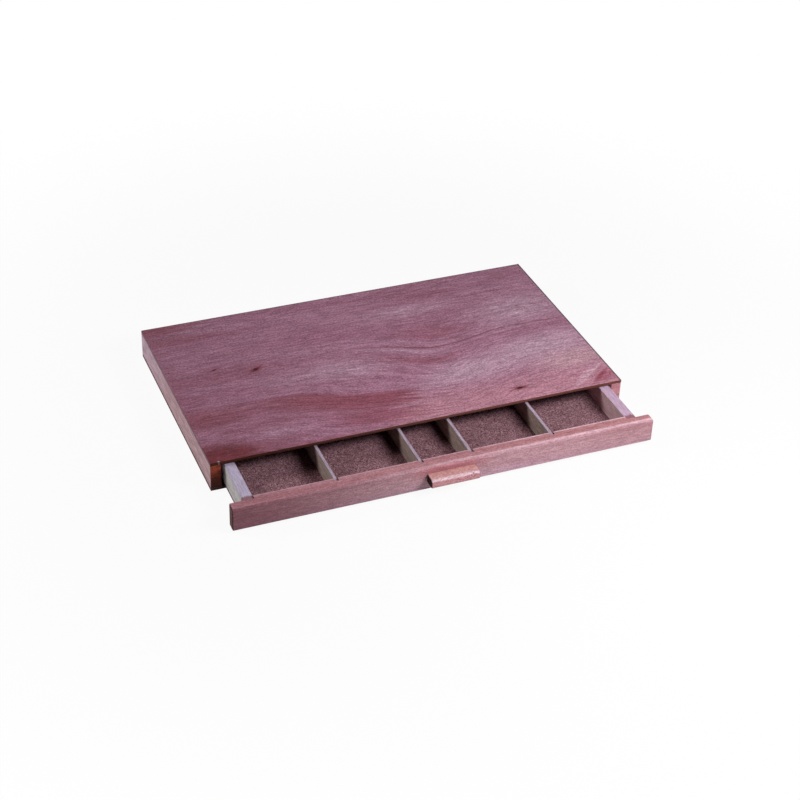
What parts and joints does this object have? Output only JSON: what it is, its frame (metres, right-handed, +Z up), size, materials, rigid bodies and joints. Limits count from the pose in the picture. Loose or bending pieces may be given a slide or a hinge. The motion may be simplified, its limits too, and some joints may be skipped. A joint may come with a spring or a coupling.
{
  "type": "pastel drawer box",
  "caption": "Shallow wooden box with a single pull-out drawer split into long compartments for pastels or small parts, with a lipped front and a short wooden pull.",
  "frame": {"origin": "centre of the case's underside, on the surface that the box stands on", "axes": "+Z up, -Y the way the drawer opens, +X to the right as seen from the front"},
  "size_m": [0.41, 0.313, 0.03],
  "materials": {
    "veneered_ply": "thin satin varnish over reddish veneer",
    "hardboard": "bare brown pressed hardboard",
    "case_rail_wood": "sanded pale hardwood, lightly varnished",
    "front_wood": "satin varnished reddish hardwood",
    "pull_wood": "satin varnished open-pored hardwood",
    "pale_wood": "bare sanded pale wood",
    "divider_wood": "bare thin wood",
    "brad_steel": "plain steel wire",
    "screw_steel": "zinc plated"
  },
  "bodies": {
    "case": {"top_panel": "veneered_ply", "bottom_panel": "hardboard", "side_rail_left": "case_rail_wood", "side_rail_right": "case_rail_wood", "back_rail": "case_rail_wood", "top_panel_brads": "brad_steel", "bottom_panel_brads": "brad_steel", "back_corner_brads": "brad_steel"},
    "drawer": {"drawer_front": "front_wood", "drawer_pull": "pull_wood", "pull_screws": "screw_steel", "drawer_side_left": "pale_wood", "drawer_side_right": "pale_wood", "drawer_back": "pale_wood", "drawer_floor": "hardboard", "drawer_floor_brads": "brad_steel", "drawer_corner_brads": "brad_steel", "divider_outer_left": "divider_wood", "divider_inner_left": "divider_wood", "divider_inner_right": "divider_wood", "divider_outer_right": "divider_wood"}
  },
  "joints": [
    {"name": "drawer_slide", "type": "slide", "parent": "case", "child": "drawer", "axis": [0, -1, 0], "range_m": [-0.0557, 0.124]}
  ]
}
